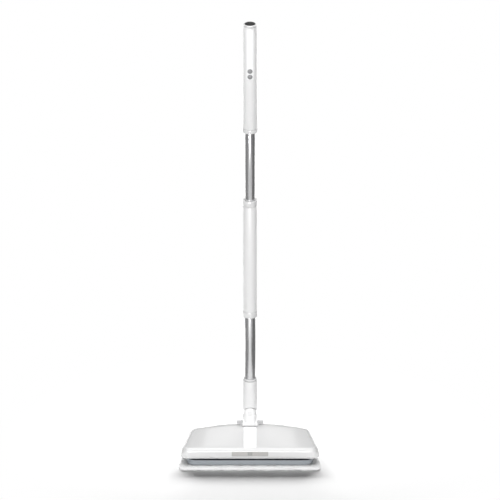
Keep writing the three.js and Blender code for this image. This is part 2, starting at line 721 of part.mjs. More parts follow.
place(neck, "connector", connectorPiece(), materials.matteWhite);
place(neck, "collar_ring", tube(ringRadius, socketRadius, [ringBottom, ringBottom + ringHeight]), materials.glossWhite);
place(neck, "lower_tube", tube(lowerTubeRadius, lowerTubeRadius - tubeWall, lowerTubeSpan), materials.aluminium);
place(neck, "sleeve_collar_lower",
  endCollar(lowerTubeRadius + gap, [sleeveBottom, sleeveBottom + endCollarHeight], false), materials.glossWhite);
place(neck, "middle_sleeve", tube(sleeveRadius, sleeveRadius - sleeveWall, sleeveSpan), materials.matteWhite);
place(neck, "sleeve_collar_upper",
  endCollar(upperTubeRadius + gap, [sleeveTop - endCollarHeight, sleeveTop], true), materials.glossWhite);
place(neck, "tube_joiner", joinerPiece(), materials.darkGrey);
place(neck, "upper_tube", tube(upperTubeRadius, upperTubeRadius - tubeWall, upperTubeSpan), materials.aluminium);

// ---- Grip -------------------------------------------------------------------------------------

const gripShellBottom = gripBottom + gripCollarHeight + gap;
const gripSocket = upperTubeRadius + gap;
const cavityBottom = upperTubeSpan[1] + 3;
const gripTaper = (gripBottomRadius - gripTopRadius) / (gripTop - gripShellBottom);

function gripRadiusAt(z) {
  return gripBottomRadius - gripTaper * (z - gripShellBottom);
}

// A skin of the grip's front between two depths under its surface, over the panel's width.
function gripFront(deep, shallow, halfWidth, z) {
  const skin = turned([
    [gripRadiusAt(z[0]) - deep, z[0]], [gripRadiusAt(z[0]) - shallow, z[0]],
    [gripRadiusAt(z[1]) - shallow, z[1]], [gripRadiusAt(z[1]) - deep, z[1]],
    [gripRadiusAt(z[0]) - deep, z[0]]], 48);
  return skin.intersect(box([-halfWidth, halfWidth], [-gripBottomRadius - 5, 0], [z[0] - 1, z[1] + 1]));
}

function buttonHoles(radius) {
  return join([powerButtonZ, lightButtonZ].map((z) =>
    barBack(radius, [-gripBottomRadius - 2, -gripBore + 4], [0, z])));
}

function gripShell() {
  const shell = turned([[gripSocket, gripShellBottom], [gripBottomRadius, gripShellBottom],
    [gripTopRadius, gripTop], [gripBore, gripTop], [gripBore, cavityBottom], [4, cavityBottom],
    [4, upperTubeSpan[1] + gap], [gripSocket, upperTubeSpan[1] + gap], [gripSocket, gripShellBottom]]);
  const panelBed = gripFront(panelThickness + gap, -2, panelHalfWidth + gap, [panelBottom - gap, panelTop + gap]);
  return shell.subtract(panelBed).subtract(buttonHoles(buttonRadius + gap));
}

const panel = gripFront(panelThickness, 0, panelHalfWidth, [panelBottom, panelTop])
  .subtract(buttonHoles(buttonRadius + gap));

place(neck, "grip_collar", turned([
  [gripSocket, gripBottom], [gripCollarRadius - 1.5, gripBottom], [gripCollarRadius, gripBottom + 1.5],
  [gripCollarRadius, gripBottom + gripCollarHeight - 1], [gripCollarRadius - 0.6, gripBottom + gripCollarHeight],
  [gripSocket, gripBottom + gripCollarHeight], [gripSocket, gripBottom]]), materials.glossWhite);
place(neck, "grip_shell", gripShell(), materials.glossWhite);
place(neck, "front_panel", panel, materials.trimWhite);

// ---- Cells, control board and buttons -----------------------------------------------------------

const firstCell = cavityBottom + 2;
const boardFront = -cellRadius + cellOffset - 2.1;
const boardHeights = [lightButtonZ - 14, powerButtonZ + 18];
const switchHeight = 1.5;

function cell(bottom) {
  const top = bottom + cellLength;
  const can = turned([[0, bottom], [cellRadius, bottom], [cellRadius, top - 2], [cellRadius - 1, top - 1],
    [3, top - 1], [3, top], [0, top]], 20);
  return can.translate([0, cellOffset, 0]);
}

function controlBoard() {
  const board = box([-7, 7], [boardFront, boardFront + 1.6], boardHeights);
  const switches = [powerButtonZ, lightButtonZ].map((z) =>
    box([-3, 3], [boardFront - switchHeight, boardFront + 0.5], [z - 3, z + 3]));
  const plug = box([-4, 4], [boardFront - 1.2, boardFront + 0.5], [boardHeights[1] - 9, boardHeights[1] - 3]);
  return join([board, ...switches, plug]);
}

// A domed button with a stem that stops short of its switch at the end of its travel.
function button(z) {
  const face = -gripRadiusAt(z) - buttonProud;
  const stemEnd = boardFront - switchHeight - buttonTravel - gap;
  const profile = [[0, stemEnd], [2, stemEnd], [2, face + 3.4], [buttonRadius, face + 3.4],
    [buttonRadius, face + 0.8], [buttonRadius - 0.8, face + 0.2], [buttonRadius - 2, face], [0, face]];
  const points = profile.map(([radius, along]) => new THREE.Vector2(radius, -along));
  return solidOf(new THREE.LatheGeometry(points, 20).rotateX(Math.PI).translate(0, 0, z));
}

place(neck, "battery_cell_1", cell(firstCell), materials.wrap);
place(neck, "battery_cell_2", cell(firstCell + cellLength + gap), materials.wrap);
place(neck, "control_board", controlBoard(), materials.board);
place(neck, "power_button", button(powerButtonZ), materials.buttonGrey);
place(neck, "light_button", button(lightButtonZ), materials.buttonGrey);

// ---- End ring, charging jack and its cover plug, and the lead down the tubes ----------------------

const ringSeat = handleEnd - plugThickness - 0.1;
const jackDepth = 12;
const jackTop = ringSeat - gap;

const endRing = turned([
  [jackRadius + gap, gripTop - 8], [gripBore - gap, gripTop - 8], [gripBore - gap, gripTop + gap],
  [gripTopRadius, gripTop + gap], [gripTopRadius, handleEnd - 1.2], [gripTopRadius - 1.2, handleEnd],
  [plugRadius + gap, handleEnd], [plugRadius + gap, ringSeat], [jackRadius + gap, ringSeat],
  [jackRadius + gap, gripTop - 8]]);

const jack = turned([[0, gripTop - 16], [jackRadius, gripTop - 16], [jackRadius, jackTop], [jackBore, jackTop],
  [jackBore, jackTop - jackDepth], [0, jackTop - jackDepth]], 16);

const plug = turned([[0, jackTop - jackDepth + 2], [jackBore - gap, jackTop - jackDepth + 2],
  [jackBore - gap, ringSeat + gap], [plugRadius, ringSeat + gap], [plugRadius, handleEnd - 0.6],
  [plugRadius - 0.6, handleEnd], [0, handleEnd]]);

place(neck, "end_ring", endRing, materials.glossWhite);
place(neck, "charge_jack", jack, materials.black);
place(neck, "charge_plug", plug, materials.black);
place(neck, "handle_lead", barUp(2, [connectorFloor + 2, cavityBottom + 1.5], [0, 0], 10), materials.black);

export default mop;
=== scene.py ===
import bpy
import math
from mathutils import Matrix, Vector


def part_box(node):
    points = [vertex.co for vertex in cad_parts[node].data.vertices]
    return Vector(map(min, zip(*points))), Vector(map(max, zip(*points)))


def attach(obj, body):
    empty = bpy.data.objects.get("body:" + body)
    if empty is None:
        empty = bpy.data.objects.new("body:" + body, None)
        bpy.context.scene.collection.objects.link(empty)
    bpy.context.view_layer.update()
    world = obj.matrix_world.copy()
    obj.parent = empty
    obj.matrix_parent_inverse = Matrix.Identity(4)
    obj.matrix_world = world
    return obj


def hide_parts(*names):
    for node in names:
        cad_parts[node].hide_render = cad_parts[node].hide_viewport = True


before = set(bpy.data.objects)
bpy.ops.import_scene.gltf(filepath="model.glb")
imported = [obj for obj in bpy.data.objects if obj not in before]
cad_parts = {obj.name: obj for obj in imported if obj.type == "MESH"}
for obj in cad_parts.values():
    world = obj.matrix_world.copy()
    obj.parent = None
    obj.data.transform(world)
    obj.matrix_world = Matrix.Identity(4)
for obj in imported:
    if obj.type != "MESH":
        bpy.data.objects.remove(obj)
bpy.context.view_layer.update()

# ---- Camera --------------------------------------------------------------------------------------
# A long lens from straight in front, looking down on the head at twenty-four degrees.

view_target = (0, 0.034, 0.5105)
view_distance = 30.0
view_elevation = math.radians(24.0)

bpy.ops.object.camera_add(
    location=(
        view_target[0],
        view_target[1] - view_distance * math.cos(view_elevation),
        view_target[2] + view_distance * math.sin(view_elevation),
    ),
    rotation=(math.pi / 2 - view_elevation, 0, 0),
)
camera = bpy.context.object
camera.data.sensor_width = 36
camera.data.lens = 36 * view_distance / 1.15
camera.data.clip_end = 100
bpy.context.scene.camera = camera
bpy.context.scene.view_settings.view_transform = "Standard"


# ---- Light and floor -----------------------------------------------------------------------------
# A white studio. Soft lamps above and behind lay the shadow forward, a low one in front lights
# the upright faces, and cards that only gloss reflects give round pieces their edges.

def surround(seen_by_gloss, fill):
    world = bpy.data.worlds.new("studio")
    bpy.context.scene.world = world
    world.use_nodes = True
    nodes = world.node_tree.nodes
    links = world.node_tree.links
    path = nodes.new("ShaderNodeLightPath")
    seen = nodes.new("ShaderNodeMix")
    seen.data_type = "RGBA"
    seen.inputs["B"].default_value = (1, 1, 1, 1)
    reflected = nodes.new("ShaderNodeMix")
    reflected.data_type = "RGBA"
    reflected.inputs["A"].default_value = (fill, fill, fill, 1)
    reflected.inputs["B"].default_value = (seen_by_gloss, seen_by_gloss, seen_by_gloss, 1)
    links.new(path.outputs["Is Glossy Ray"], reflected.inputs["Factor"])
    links.new(reflected.outputs["Result"], seen.inputs["A"])
    links.new(path.outputs["Is Camera Ray"], seen.inputs["Factor"])
    links.new(seen.outputs["Result"], nodes["Background"].inputs["Color"])


def lamp(name, location, aim, size, power, glossy=True):
    bpy.ops.object.light_add(type="AREA", location=location)
    light = bpy.context.object
    light.name = name
    light.data.shape = "RECTANGLE"
    light.data.size, light.data.size_y = size
    light.data.energy = power
    light.visible_glossy = glossy
    direction = [a - b for a, b in zip(aim, location)]
    pitch = math.atan2(math.hypot(direction[0], direction[1]), -direction[2])
    light.rotation_euler = (pitch, 0, math.atan2(-direction[0], direction[1]))
    return light


def share(light, piece, state):
    group = bpy.data.collections.new(f"{light.name}_{piece.name}")
    group.objects.link(piece)
    group.collection_objects[0].light_linking.link_state = state
    light.light_linking.receiver_collection = group


def card(name, location, turn, size, grey):
    bpy.ops.mesh.primitive_plane_add(size=1, location=location, rotation=turn)
    sheet = bpy.context.object
    sheet.name = name
    sheet.scale = (*size, 1)
    paint_grey = bpy.data.materials.new(name)
    paint_grey.use_nodes = True
    nodes = paint_grey.node_tree.nodes
    glow = nodes.new("ShaderNodeEmission")
    glow.inputs["Color"].default_value = (grey, grey, grey, 1)
    paint_grey.node_tree.links.new(glow.outputs[0], nodes["Material Output"].inputs["Surface"])
    sheet.data.materials.append(paint_grey)
    sheet.visible_camera = False
    sheet.visible_diffuse = False
    sheet.visible_shadow = False
    sheet.visible_transmission = False


upright = (math.pi / 2, 0, math.pi / 2)
surround(0.3, 0.06)
behind = (-0.1, 2.4, 1.85)
back_size = (3.6, 1.2)
lamp("back_soft", behind, (0, 0, 0), back_size, 58, glossy=False)
floor_back = lamp("floor_back", behind, (0, 0, 0), back_size, 142, glossy=False)
top_soft = lamp("top_soft", (0, -0.4, 2.8), (0, 0, 0), (2.0, 1.4), 43, glossy=False)
front_low = lamp("front_low", (-0.4, -4.0, 0.5), (0, 0, 0.4), (2.0, 0.8), 98)
trim_front = lamp("trim_front", (0, -1.5, 1.4), (0, 0, 0), (2.0, 0.6), 30, glossy=False)
card("left_card", (-0.75, 0.1, 1.2), upright, (1.5, 2.4), 0.26)
card("right_card", (0.75, 0.2, 1.2), upright, (1.6, 2.4), 0.16)
card("left_floor_card", (-0.48, -0.2, 0.002), (0, 0, 0), (0.5, 0.9), 0.26)
card("edge_card", (0, -0.5, 2.5), (math.radians(11), 0, 0), (2.4, 3.0), 3.2)
card("trim_card", (0, 1.6, 1.9), (math.radians(-40), 0, 0), (2.4, 0.8), 1.5)
card("right_floor_card", (0.5, 0.05, 0.002), (0, 0, 0), (0.5, 1.3), 0.16)

bpy.ops.mesh.primitive_plane_add(size=14)
floor = bpy.context.object
floor.name = "studio_floor"
floor.data.materials.append(bpy.data.materials.new("floor_white"))
floor.data.materials[0].use_nodes = True
floor_shader = floor.data.materials[0].node_tree.nodes["Principled BSDF"]
floor_shader.inputs["Base Color"].default_value = (0.95, 0.95, 0.95, 1)
floor_shader.inputs["Roughness"].default_value = 1.0
floor_shader.inputs["Specular IOR Level"].default_value = 0.0
floor_shader.inputs["Emission Color"].default_value = (1, 1, 1, 1)
floor_shader.inputs["Emission Strength"].default_value = 0.04
share(front_low, floor, "EXCLUDE")
share(top_soft, floor, "EXCLUDE")
share(floor_back, floor, "INCLUDE")

# A white overlay that only the camera sees keeps the floor pale away from the mop.
wash_start = 0.2
wash_full = 0.6
bpy.ops.mesh.primitive_plane_add(size=60, location=(0, 0, 0.001))
wash = bpy.context.object
wash.name = "floor_wash"
wash_white = bpy.data.materials.new("floor_wash_white")
wash_white.use_nodes = True
wash_white.cycles.emission_sampling = "NONE"
wash_nodes = wash_white.node_tree.nodes
wash_links = wash_white.node_tree.links
wash_place = wash_nodes.new("ShaderNodeTexCoord")
wash_reach = wash_nodes.new("ShaderNodeVectorMath")
wash_reach.operation = "LENGTH"
wash_fade = wash_nodes.new("ShaderNodeMapRange")
wash_fade.interpolation_type = "SMOOTHSTEP"
wash_fade.inputs["From Min"].default_value = wash_start
wash_fade.inputs["From Max"].default_value = wash_full
wash_clear = wash_nodes.new("ShaderNodeBsdfTransparent")
wash_glow = wash_nodes.new("ShaderNodeEmission")
wash_mix = wash_nodes.new("ShaderNodeMixShader")
wash_links.new(wash_place.outputs["Object"], wash_reach.inputs[0])
wash_links.new(wash_reach.outputs["Value"], wash_fade.inputs["Value"])
wash_links.new(wash_fade.outputs["Result"], wash_mix.inputs["Fac"])
wash_links.new(wash_clear.outputs[0], wash_mix.inputs[1])
wash_links.new(wash_glow.outputs[0], wash_mix.inputs[2])
wash_links.new(wash_mix.outputs[0], wash_nodes["Material Output"].inputs["Surface"])
wash.data.materials.append(wash_white)
wash.visible_diffuse = False
wash.visible_glossy = False
wash.visible_shadow = False
wash.visible_transmission = False


# ---- Mop pad -------------------------------------------------------------------------------------
# A thick looped microfibre pad, soft at its edges and a little wider than the plate. A slab
# is tapered and rounded in plan, remeshed, and its pile raised by two sizes of noise.

def deselect():
    bpy.ops.object.select_all(action="DESELECT")


def only(piece):
    deselect()
    piece.select_set(True)
    bpy.context.view_layer.objects.active = piece


def settle(piece):
    only(piece)
    bpy.ops.object.transform_apply(location=True, rotation=True, scale=True)


def finish_with(piece, kind, **settings):
    only(piece)
    modifier = piece.modifiers.new(kind.lower(), kind)
    for key, value in settings.items():
        setattr(modifier, key, value)
    bpy.ops.object.modifier_apply(modifier=modifier.name)


def pick(piece, kind, test):
    only(piece)
    bpy.ops.object.mode_set(mode="EDIT")
    bpy.ops.mesh.select_mode(type=kind)
    bpy.ops.mesh.select_all(action="DESELECT")
    bpy.ops.object.mode_set(mode="OBJECT")
    parts = {"VERT": piece.data.vertices, "EDGE": piece.data.edges, "FACE": piece.data.polygons}[kind]
    for part in parts:
        part.select = test(part)
    bpy.ops.object.mode_set(mode="EDIT")


def block(name, low, high):
    deselect()
    bpy.ops.mesh.primitive_cube_add(size=1, location=[(a + b) / 2 for a, b in zip(low, high)])
    piece = bpy.context.object
    piece.name = name
    piece.scale = [b - a for a, b in zip(low, high)]
    settle(piece)
    return piece


def noise_bump(nodes, links, scale, strength, distance, detail=3):
    place = nodes.new("ShaderNodeTexCoord")
    noise = nodes.new("ShaderNodeTexNoise")
    noise.inputs["Scale"].default_value = scale
    noise.inputs["Detail"].default_value = detail
    bump = nodes.new("ShaderNodeBump")
    bump.inputs["Strength"].default_value = strength
    bump.inputs["Distance"].default_value = distance
    links.new(place.outputs["Object"], noise.inputs["Vector"])
    links.new(noise.outputs["Fac"], bump.inputs["Height"])
    return noise, bump


def microfibre():
    material = bpy.data.materials.new("looped_microfibre")
    material.use_nodes = True
    nodes = material.node_tree.nodes
    links = material.node_tree.links
    shader = nodes["Principled BSDF"]
    noise, bump = noise_bump(nodes, links, 420, 0.8, 0.0012, 6)
    tint = nodes.new("ShaderNodeMix")
    tint.data_type = "RGBA"
    tint.inputs["A"].default_value = (0.94, 0.94, 0.94, 1)
    tint.inputs["B"].default_value = (1.0, 1.0, 1.0, 1)
    links.new(noise.outputs["Fac"], tint.inputs["Factor"])
    links.new(tint.outputs["Result"], shader.inputs["Base Color"])
    links.new(bump.outputs["Normal"], shader.inputs["Normal"])
    shader.inputs["Roughness"].default_value = 0.95
    shader.inputs["Sheen Weight"].default_value = 0.4
    shader.inputs["Sheen Roughness"].default_value = 0.5
    return material


pad_low, pad_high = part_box("mop_pad")
pad_taper = 0.88
pad = block("microfibre_pad", (pad_low.x + 0.001, pad_low.y + 0.001, pad_low.z),
            (pad_high.x - 0.001, pad_high.y - 0.001, pad_high.z))
pick(pad, "VERT", lambda vertex: vertex.co.y > 0)
bpy.ops.transform.resize(value=(pad_taper, 1, 1), center_override=(0, 0, 0))
bpy.ops.object.mode_set(mode="OBJECT")
corners = pad.data.vertices
pick(pad, "EDGE", lambda edge: abs(corners[edge.vertices[0]].co.z - corners[edge.vertices[1]].co.z) > 0.001)
bpy.ops.mesh.bevel(offset=0.014, segments=6, affect="EDGES")
bpy.ops.object.mode_set(mode="OBJECT")
finish_with(pad, "BEVEL", width=0.002, segments=3, limit_method="ANGLE")
finish_with(pad, "REMESH", mode="VOXEL", voxel_size=0.0018)
for name, scale, strength in (("pile_tufts", 0.012, 0.0022), ("pile_loops", 0.0035, 0.0016)):
    pile = bpy.data.textures.new(name, "CLOUDS")
    pile.noise_scale = scale
    finish_with(pad, "DISPLACE", texture=pile, strength=strength, mid_level=0.6, texture_coords="LOCAL")
for vertex in pad.data.vertices:
    vertex.co.z = min(max(vertex.co.z, pad_low.z + 0.0001), pad_high.z + 0.0001)
only(pad)
bpy.ops.object.shade_smooth()
pad.data.materials.append(microfibre())
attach(pad, "plate")
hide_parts("mop_pad")


# ---- Plate, hook strips and glide studs ----------------------------------------------------------
# The blue-grey plate that sweeps from side to side is an injection moulding; its edges get a
# small radius here. The strips are woven hook tape and the studs are plated steel.

def moulded(name, colour, roughness, grain=0.05, coat=0.0, grain_size=900):
    material = bpy.data.materials.new(name)
    material.use_nodes = True
    nodes = material.node_tree.nodes
    links = material.node_tree.links
    shader = nodes["Principled BSDF"]
    noise, bump = noise_bump(nodes, links, grain_size, grain, 0.0002)
    spread = nodes.new("ShaderNodeMapRange")
    spread.inputs["To Min"].default_value = roughness - 0.04
    spread.inputs["To Max"].default_value = roughness + 0.04
    links.new(noise.outputs["Fac"], spread.inputs["Value"])
    links.new(spread.outputs[0], shader.inputs["Roughness"])
    links.new(bump.outputs["Normal"], shader.inputs["Normal"])
    shader.inputs["Base Color"].default_value = (*colour, 1)
    shader.inputs["Coat Weight"].default_value = coat
    shader.inputs["Coat Roughness"].default_value = 0.08
    return material


def refined(node, name, body, material, radius=0.0004, segments=2):
    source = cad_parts[node]
    piece = bpy.data.objects.new(name, source.data.copy())
    bpy.context.scene.collection.objects.link(piece)
    only(piece)
    bpy.ops.object.mode_set(mode="EDIT")
    bpy.ops.mesh.select_all(action="SELECT")
    bpy.ops.mesh.remove_doubles(threshold=0.00002)
    bpy.ops.mesh.dissolve_limited(angle_limit=math.radians(0.5))
    bpy.ops.mesh.customdata_custom_splitnormals_clear()
    bpy.ops.object.mode_set(mode="OBJECT")
    if radius:
        finish_with(piece, "BEVEL", width=radius, segments=segments, limit_method="ANGLE",
                    angle_limit=math.radians(40))
    only(piece)
    bpy.ops.object.shade_smooth_by_angle(angle=math.radians(32))
    dress(piece, body, material)
    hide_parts(node)
    return piece


def dress(piece, body, material):
    piece.data.materials.clear()
    piece.data.materials.append(material)
    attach(piece, body)


def paint(nodes, material):
    for node in nodes:
        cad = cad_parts[node]
        for index in range(max(len(cad.material_slots), 1)):
            if len(cad.material_slots) == 0:
                cad.data.materials.append(material)
            cad.material_slots[index].material = material


def plated_steel():
    material = bpy.data.materials.new("plated_steel")
    material.use_nodes = True
    nodes = material.node_tree.nodes
    links = material.node_tree.links
    shader = nodes["Principled BSDF"]
    noise, bump = noise_bump(nodes, links, 700, 0.1, 0.0001)
    spread = nodes.new("ShaderNodeMapRange")
    spread.inputs["To Min"].default_value = 0.25
    spread.inputs["To Max"].default_value = 0.4
    links.new(noise.outputs["Fac"], spread.inputs["Value"])
    links.new(spread.outputs[0], shader.inputs["Roughness"])
    links.new(bump.outputs["Normal"], shader.inputs["Normal"])
    shader.inputs["Base Color"].default_value = (0.6, 0.6, 0.6, 1)
    shader.inputs["Metallic"].default_value = 1
    return material


def hook_tape():
    material = bpy.data.materials.new("hook_tape")
    material.use_nodes = True
    nodes = material.node_tree.nodes
    links = material.node_tree.links
    shader = nodes["Principled BSDF"]
    noise, bump = noise_bump(nodes, links, 1500, 0.7, 0.0005)
    tint = nodes.new("ShaderNodeMix")
    tint.data_type = "RGBA"
    tint.inputs["A"].default_value = (0.66, 0.66, 0.65, 1)
    tint.inputs["B"].default_value = (0.84, 0.84, 0.83, 1)
    links.new(noise.outputs["Fac"], tint.inputs["Factor"])
    links.new(tint.outputs["Result"], shader.inputs["Base Color"])
    links.new(bump.outputs["Normal"], shader.inputs["Normal"])
    shader.inputs["Roughness"].default_value = 0.9
    return material


steel = plated_steel()
plate_grey = moulded("blue_grey_moulding", (0.31, 0.335, 0.36), 0.42, 0.12)
refined("mop_plate", "sweeping_plate", "plate", plate_grey, 0.0008, 3)
paint(["hook_strip_front", "hook_strip_rear"], hook_tape())
paint([f"glide_stud_{i}" for i in range(1, 5)], steel)

# ---- Chassis and what it carries -----------------------------------------------------------------
# Dark moulded floor of the head with the drive motor in its cup, the eccentric and its bearing,
# the boards and the lead between them.

dark_grey = moulded("dark_moulding", (0.09, 0.096, 0.102), 0.5, 0.15)
joint_grey = moulded("grey_moulding", (0.55, 0.55, 0.555), 0.45, 0.15)
board_green = moulded("solder_mask", (0.02, 0.14, 0.07), 0.35, 0.05, 0.3, 300)
lead_black = moulded("lead_jacket", (0.015, 0.015, 0.015), 0.6, 0.1)
paint(["chassis", "motor_mount", "tube_joiner", "charge_jack"], dark_grey)
paint(["drive_motor", "motor_shaft", "eccentric_bearing", "tilt_axle", "bracket_screw_left",
       "bracket_screw_right"] + [f"cover_screw_{i}" for i in range(1, 5)], steel)
paint(["eccentric_hub"], joint_grey)
paint(["led_board", "driver_board", "control_board"], board_green)
paint(["head_lead", "handle_lead"], lead_black)
paint(["battery_cell_1", "battery_cell_2"], moulded("cell_wrap", (0.05, 0.16, 0.4), 0.3, 0.05, 0.2))

# ---- Head cover ----------------------------------------------------------------------------------
# One white gloss moulding: an outline drawn in to the rear, carried up, turned over a rounded
# rim and closed over a sloping, crowned top. It is cut for the neck's channel, hollowed to a
# shell and cut for the light strip, the centre trim and the bracket's two ears.

cover_low, cover_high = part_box("head_cover")
corner_reach = 0.0056
cover_rear_half = 0.134
front_corner = 0.018
rear_corner = 0.028
cover_wall = 0.0025
ridge_y = 0.036
front_top = 0.0496
ridge_top = 0.0716
rear_top = 0.041
crown_fall = 0.82
ridge_softness = 0.006
neck_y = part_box("lower_tube")[0].y / 2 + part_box("lower_tube")[1].y / 2


def rounded_outline(points_per_corner=14, points_per_side=30):
    corners = [
        ((-cover_high.x - corner_reach, cover_low.y), front_corner),
        ((cover_high.x + corner_reach, cover_low.y), front_corner),
        ((cover_rear_half, cover_high.y), rear_corner),
        ((-cover_rear_half, cover_high.y), rear_corner),
    ]
    arcs = []
    for i, ((x, y), radius) in enumerate(corners):
        before = corners[i - 1][0]
        after = corners[(i + 1) % 4][0]
        a = math.atan2(before[1] - y, before[0] - x)
        b = math.atan2(after[1] - y, after[0] - x)
        half = ((a - b) % math.tau) / 2
        reach = radius / math.sin(half)
        middle = b + half
        centre = (x + reach * math.cos(middle), y + reach * math.sin(middle))
        start = middle + math.pi - (math.pi / 2 - half)
        turn = math.pi - 2 * half
        arcs.append([
            (centre[0] + radius * math.cos(start + turn * k / points_per_corner),
             centre[1] + radius * math.sin(start + turn * k / points_per_corner),
             start + turn * k / points_per_corner)
            for k in range(points_per_corner + 1)
        ])
    outline = []
    for i, arc in enumerate(arcs):
        outline.extend(arc)
        end = arc[-1]
        following = arcs[(i + 1) % 4][0]
        for k in range(1, points_per_side):
            t = k / points_per_side
            outline.append((end[0] + t * (following[0] - end[0]),
                            end[1] + t * (following[1] - end[1]), end[2]))
    return outline


def smooth_least(a, b, softness):
    h = max(softness - abs(a - b), 0) / softness
    return min(a, b) - h * h * softness / 4


def top_height(x, y):
    ridge = ridge_top - crown_fall * x * x
    rise = (ridge - front_top) / (ridge_y - cover_low.y)
    fall = (ridge - rear_top) / (cover_high.y - ridge_y)
    return smooth_least(front_top + rise * (y - cover_low.y), ridge - fall * (y - ridge_y), ridge_softness)


outline = rounded_outline()
deselect()
bpy.ops.mesh.primitive_circle_add(vertices=len(outline), radius=0.1, fill_type="NOTHING")
cover = bpy.context.object
cover.name = "white_head_cover"
bpy.ops.object.mode_set(mode="EDIT")
bpy.ops.mesh.select_all(action="SELECT")
rim_steps = 7
ring_scales = [0.96, 0.9, 0.8, 0.68, 0.54, 0.38, 0.2, 0.08]
ring_total = 3 + rim_steps + len(ring_scales)
for _ in range(ring_total - 1):
    bpy.ops.mesh.extrude_edges_move(TRANSFORM_OT_translate={"value": (0, 0, 0.001)})
bpy.ops.object.mode_set(mode="OBJECT")
count = len(outline)
rim_radius = 0.0088
vertices = cover.data.vertices
for index, (x, y, normal) in enumerate(outline):
    out = (math.cos(normal), math.sin(normal))
    forward = max(-out[1], 0)
    chamfer = 0.004 * forward
    lean = 0.004 * (1 - forward)
    inner = (x - (rim_radius + lean) * out[0], y - (rim_radius + lean) * out[1])
    shoulder = top_height(*inner) - rim_radius
    places = [
        (x - chamfer * out[0], y - chamfer * out[1], cover_low.z),
        (x, y, cover_low.z + 0.006),
    ]
    for step in range(rim_steps + 1):
        angle = step / rim_steps * math.pi / 2
        draw_in = lean * min(1, 0.6 + step / rim_steps) + rim_radius * (1 - math.cos(angle))
        px, py = x - draw_in * out[0], y - draw_in * out[1]
        pz = shoulder + (top_height(px, py) - shoulder) * math.sin(angle)
        places.append((px, py, pz))
    last = places[-1]
    for scale in ring_scales:
        px, py = last[0] * scale, last[1] * scale
        places.append((px, py, top_height(px, py)))
    for ring, position in enumerate(places):
        vertices[index + ring * count].co = position
bpy.ops.object.mode_set(mode="EDIT")
bpy.ops.mesh.select_all(action="DESELECT")
bpy.ops.mesh.select_mode(type="VERT")
bpy.ops.mesh.select_non_manifold()
bpy.ops.mesh.edge_face_add()
bpy.ops.mesh.select_all(action="DESELECT")
bpy.ops.mesh.select_non_manifold()
bpy.ops.mesh.fill_holes(sides=0)
bpy.ops.mesh.select_all(action="SELECT")
bpy.ops.mesh.normals_make_consistent(inside=False)
bpy.ops.object.mode_set(mode="OBJECT")


def cut(piece, cutter):
    finish_with(piece, "BOOLEAN", object=cutter, operation="DIFFERENCE", solver="MANIFOLD")
    bpy.data.objects.remove(cutter)


barrel_radius = 0.011
channel_half = 0.0185
channel_front = neck_y - barrel_radius - 0.0006
axle_low, axle_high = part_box("tilt_axle")
connector_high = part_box("connector")[1]
channel_clearance = 0.0018
channel_floor = (axle_low.z + axle_high.z) / 2 - connector_high.x - channel_clearance
channel = block("channel_cutter", (-channel_half, channel_front, channel_floor),
                (channel_half, cover_high.y + 0.01, ridge_top + 0.01))
finish_with(channel, "BEVEL", width=0.003, segments=4, limit_method="ANGLE")
cut(cover, channel)
pick(cover, "FACE", lambda face: face.center.z < cover_low.z + 0.0001)
bpy.ops.mesh.delete(type="FACE")
bpy.ops.object.mode_set(mode="OBJECT")
finish_with(cover, "SOLIDIFY", thickness=cover_wall, offset=-1)

lens_low, lens_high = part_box("light_lens")
gap = 0.0003
cut(cover, block("lens_cutter", (lens_low.x - gap, cover_low.y - 0.01, lens_low.z - gap),
                 (lens_high.x + gap, cover_low.y + 0.006, lens_high.z + gap)))
ear_inner = 0.0167
ear_outer = 0.0209
ear_wall = 0.0024
ear_reach = (axle_high.z - axle_low.z) / 2 + gap + ear_wall + gap
for side in (-1, 1):
    inner_x, outer_x = sorted((side * ear_inner, side * ear_outer))
    cut(cover, block("ear_cutter", (inner_x, neck_y - ear_reach, channel_floor - 0.006),
                     (outer_x, neck_y + ear_reach, ridge_top + 0.01)))


def gloss_white(name, colour, roughness, coat):
    return moulded(name, colour, roughness, 0.02, coat, 120)


cover_white = gloss_white("cover_white", (0.78, 0.78, 0.78), 0.2, 0.8)
only(cover)
bpy.ops.object.shade_smooth_by_angle(angle=math.radians(32))
dress(cover, "head", cover_white)
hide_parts("head_cover")

# ---- Centre trim ---------------------------------------------------------------------------------
# A high-gloss strip let into the cover from the knuckle to its front edge, its white set brighter than
# the cover's as a painted highlight. A plane is divided, laid on the cover's crown and thickened
# down into its bed.

trim_low, trim_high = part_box("cover_trim")
trim_proud = 0.0008
trim_depth = 0.0017
deselect()
bpy.ops.mesh.primitive_grid_add(x_subdivisions=12, y_subdivisions=44, size=1,
                                location=(0, (trim_low.y + trim_high.y) / 2, 0))
trim = bpy.context.object
trim.name = "centre_trim"
trim.scale = (trim_high.x - trim_low.x, trim_high.y - trim_low.y, 1)
settle(trim)
for vertex in trim.data.vertices:
    vertex.co.z = top_height(vertex.co.x, vertex.co.y) + trim_proud
finish_with(trim, "SOLIDIFY", thickness=trim_depth, offset=-1)
finish_with(trim, "BEVEL", width=0.0004, segments=2, limit_method="ANGLE", angle_limit=math.radians(40))
bed = trim.copy()
bed.data = trim.data.copy()
bpy.context.scene.collection.objects.link(bed)
only(bed)
bed.scale = (1.02, 1.01, 1.0)
bpy.ops.object.transform_apply(location=True, rotation=True, scale=True)
finish_with(cover, "BOOLEAN", object=bed, operation="DIFFERENCE", solver="MANIFOLD")
bpy.data.objects.remove(bed)
only(trim)
bpy.ops.object.shade_smooth_by_angle(angle=math.radians(32))
# The trim's white is set brighter than the cover's as a painted highlight.
dress(trim, "head", gloss_white("trim_white_painted_highlight", (0.97, 0.97, 0.98), 0.1, 1.0))
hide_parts("cover_trim")
share(trim_front, trim, "INCLUDE")

# ---- Light strip and status window ---------------------------------------------------------------
# The unlit strip is a smoked diffusing lens; the small window in its middle is darker.

